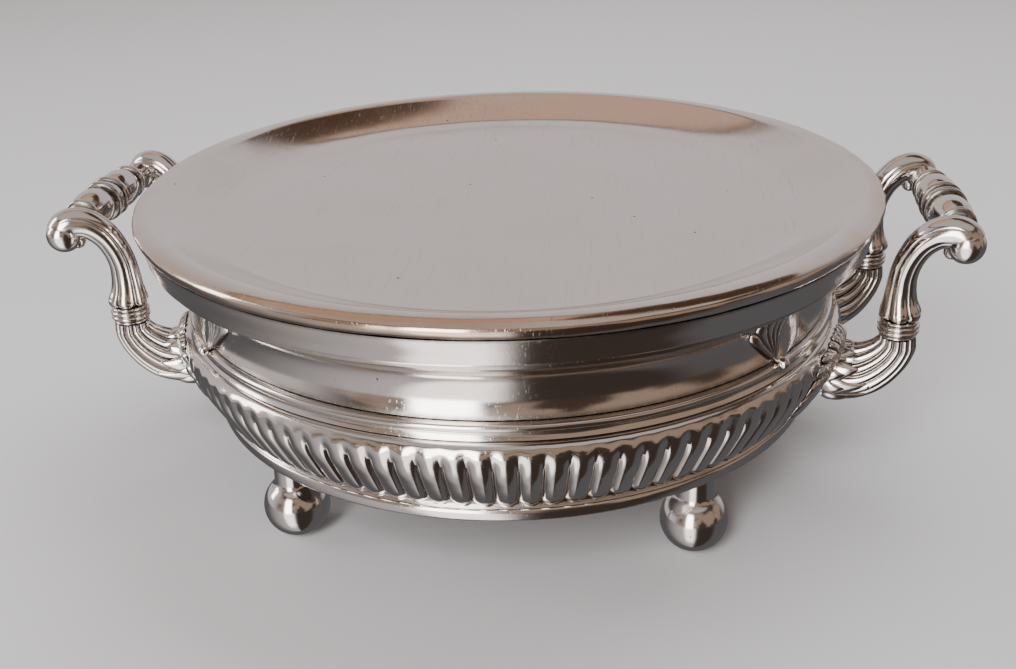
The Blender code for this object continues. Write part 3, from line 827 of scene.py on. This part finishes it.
def build_leaf_mount(name):
    turn, _, _, _, hand = arm_frame(name)
    shells = Shells()
    pleated = [(48, 0.0150), (65, 0.0190), (85, 0.0215), (108, 0.0220)]
    tongue = [(106, 0.0215), (120, 0.0245), (138, 0.0245), (156, 0.0225), (170, 0.0190)]
    fan(shells, LEAF_APEX, pleated, 5)
    fan(shells, LEAF_APEX, tongue, 1, 0.0014)
    across, height = LEAF_APEX
    boss = (math.sqrt(skin_radius(height) ** 2 - across ** 2) + 0.0010, height)
    scroll_ball(shells, boss, 0.0021, across)
    belly_leaf = [(-380, 0.0300), (-372, 0.0330), (-345, 0.0280), (-330, 0.0200)]
    shell = [(-395, 0.0260), (-378, 0.0340), (-362, 0.0330), (-345, 0.0290), (-325, 0.0220),
             (-300, 0.0170), (-270, 0.0150), (-240, 0.0170), (-200, 0.0200), (-150, 0.0200),
             (-100, 0.0190), (-60, 0.0215), (-35, 0.0260)]
    fan(shells, (0.0060, 0.0600), belly_leaf, 4)
    fan(shells, (0.0060, 0.0560), shell, 22, 0.0020)
    mount = shells.make("leaf_mount_%s_fine" % name, turn, hand)
    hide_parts("leaf_mount_" + name)


# Studio.

def build_floor():
    bpy.ops.mesh.primitive_plane_add(size=24.0, location=(0.0, 0.0, 0.0))
    floor = bpy.context.object
    floor.name = "studio_floor"
    material = bpy.data.materials.new("studio_floor")
    material.use_nodes = True
    shader = material.node_tree.nodes["Principled BSDF"]
    shader.inputs["Base Color"].default_value = (0.50, 0.50, 0.51, 1.0)
    shader.inputs["Roughness"].default_value = 0.65
    floor.data.materials.append(material)
    floor.visible_glossy = False
    bpy.ops.mesh.primitive_cylinder_add(vertices=96, radius=9.0, depth=14.0, end_fill_type="NOTHING",
                                        location=(0.0, 0.0, 6.9))
    backdrop = bpy.context.object
    backdrop.name = "studio_backdrop"
    backdrop.data.materials.append(material)
    backdrop.visible_glossy = False
    backdrop.visible_diffuse = False
    backdrop.visible_shadow = False


def add_light(name, place, aim, width, height, power, reflected=True):
    data = bpy.data.lights.new(name, "AREA")
    data.shape = "RECTANGLE"
    data.size = width
    data.size_y = height
    data.energy = power
    lamp = bpy.data.objects.new(name, data)
    bpy.context.scene.collection.objects.link(lamp)
    lamp.location = place
    lamp.rotation_euler = (Vector(aim) - Vector(place)).to_track_quat("-Z", "Y").to_euler()
    lamp.visible_glossy = reflected


def within(tree, azimuth, heading, inner, outer):
    """One up to an angle from a heading, falling to zero at a wider angle. All three are in degrees."""
    away = maths(tree, "ABSOLUTE", maths(tree, "SUBTRACT", azimuth, math.radians(heading)), 0.0)
    return ramp(tree, away, math.radians(inner), math.radians(outer), 1.0, 0.0)


WINDOW_HEADING = 16.0       # degrees from -Y towards -X
GLARE_HEADING = 14.0
SHADE_HEADING = -36.0


def build_world():
    """A dim room that the silver reflects: slate below, a pale wall, a warm ceiling and a tall window."""
    world = bpy.data.worlds.new("studio")
    bpy.context.scene.world = world
    world.use_nodes = True
    tree = world.node_tree
    background = tree.nodes["Background"]
    separate = tree.nodes.new("ShaderNodeSeparateXYZ")
    place = tree.nodes.new("ShaderNodeTexCoord").outputs["Generated"]
    link(tree, place, separate.inputs["Vector"])
    east, north, up = (separate.outputs[axis] for axis in "XYZ")
    side = maths(tree, "SUBTRACT", maths(tree, "MULTIPLY", north, 0.85), maths(tree, "MULTIPLY", east, 0.50))
    patches = noise(tree, place, 1.9, 2.0, 0.5)
    furniture = mix_colour(tree, ramp(tree, patches, 0.44, 0.56), (0.066, 0.048, 0.038), (0.40, 0.30, 0.235))
    wall = mix_colour(tree, ramp(tree, side, -0.35, 0.30), furniture, (0.74, 0.685, 0.69))
    cornice = mix_colour(tree, ramp(tree, up, 0.655, 0.67), wall, (0.10, 0.060, 0.040))
    shelf = mix_colour(tree, ramp(tree, east, 0.00, 0.05), (0.68, 0.46, 0.345), (0.085, 0.050, 0.032))
    plaster = mix_colour(tree, ramp(tree, up, 0.90, 0.96), shelf, (0.62, 0.575, 0.55))
    beyond = mix_colour(tree, ramp(tree, north, 0.02, 0.22), (0.62, 0.575, 0.55), plaster)
    ceiling = mix_colour(tree, ramp(tree, up, 0.69, 0.71), cornice, beyond)
    west, south = (maths(tree, "MULTIPLY", value, -1.0) for value in (east, north))
    azimuth = maths(tree, "ARCTAN2", west, south)
    sheen = within(tree, azimuth, WINDOW_HEADING, 15.0, 95.0)
    slate = mix_colour(tree, sheen, (0.120, 0.120, 0.128), (0.66, 0.635, 0.64))
    shaded = within(tree, azimuth, SHADE_HEADING, 22.0, 42.0)
    table = mix_colour(tree, shaded, slate, (0.055, 0.042, 0.036))
    glare = maths(tree, "MULTIPLY", within(tree, azimuth, GLARE_HEADING, 9.0, 22.0),
                  ramp(tree, up, -0.97, -0.78))
    streak = mix_colour(tree, glare, table, (2.9, 2.84, 2.80))
    room = mix_colour(tree, ramp(tree, up, -0.16, -0.10), streak, ceiling)
    tall = maths(tree, "MULTIPLY", ramp(tree, up, -0.20, -0.12), ramp(tree, up, 0.50, 0.66, 1.0, 0.0))
    pane = maths(tree, "MULTIPLY", within(tree, azimuth, WINDOW_HEADING, 8.0, 13.0), tall)
    lit = mix_colour(tree, pane, room, (12.0, 11.8, 11.6))
    link(tree, lit, background.inputs["Color"])
    background.inputs["Strength"].default_value = 1.0


def build_camera():
    data = bpy.data.cameras.new("camera")
    data.sensor_width = 36.0
    data.lens = CAMERA_LENS
    camera = bpy.data.objects.new("camera", data)
    bpy.context.scene.collection.objects.link(camera)
    forward = Vector((-math.sin(CAMERA_TURN) * math.cos(CAMERA_PITCH),
                      math.cos(CAMERA_TURN) * math.cos(CAMERA_PITCH), -math.sin(CAMERA_PITCH)))
    right = Vector((math.cos(CAMERA_TURN), math.sin(CAMERA_TURN), 0.0))
    above = right.cross(forward)
    tilted_right = right * math.cos(CAMERA_ROLL) + above * math.sin(CAMERA_ROLL)
    tilted_above = above * math.cos(CAMERA_ROLL) - right * math.sin(CAMERA_ROLL)
    basis = Matrix((tilted_right, tilted_above, -forward)).transposed().to_4x4()
    camera.matrix_world = Matrix.Translation(CAMERA_PLACE) @ basis
    bpy.context.scene.camera = camera


def finish_cad_nodes():
    """The wire and the screws keep their CAD shapes and get the brass material."""
    for name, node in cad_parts.items():
        if name == "cover_rim_wire" or "screw" in name:
            node.data.materials.clear()
            node.data.materials.append(BRASS[0])


build_cover()
build_skirt()
build_liner()
build_neck()
build_bead()
build_belly()
build_base()
build_feet()
for arm_name in ARMS:
    build_leaf_mount(arm_name)
    build_bracket(arm_name)
    build_ferrule(arm_name)
    build_arm(arm_name)
build_grip("left")
build_grip("right")
finish_cad_nodes()
build_floor()
build_world()
add_light("window", (-0.35, -1.30, 1.15), (0.0, 0.0, 0.09), 0.45, 0.70, 20.0, reflected=False)
add_light("overhead", (0.3, 0.5, 1.5), (0.0, 0.0, 0.1), 1.2, 0.9, 22.0, reflected=False)
add_light("side", (-1.4, -0.1, 0.6), (0.0, 0.0, 0.08), 0.35, 0.8, 7.0)
build_camera()
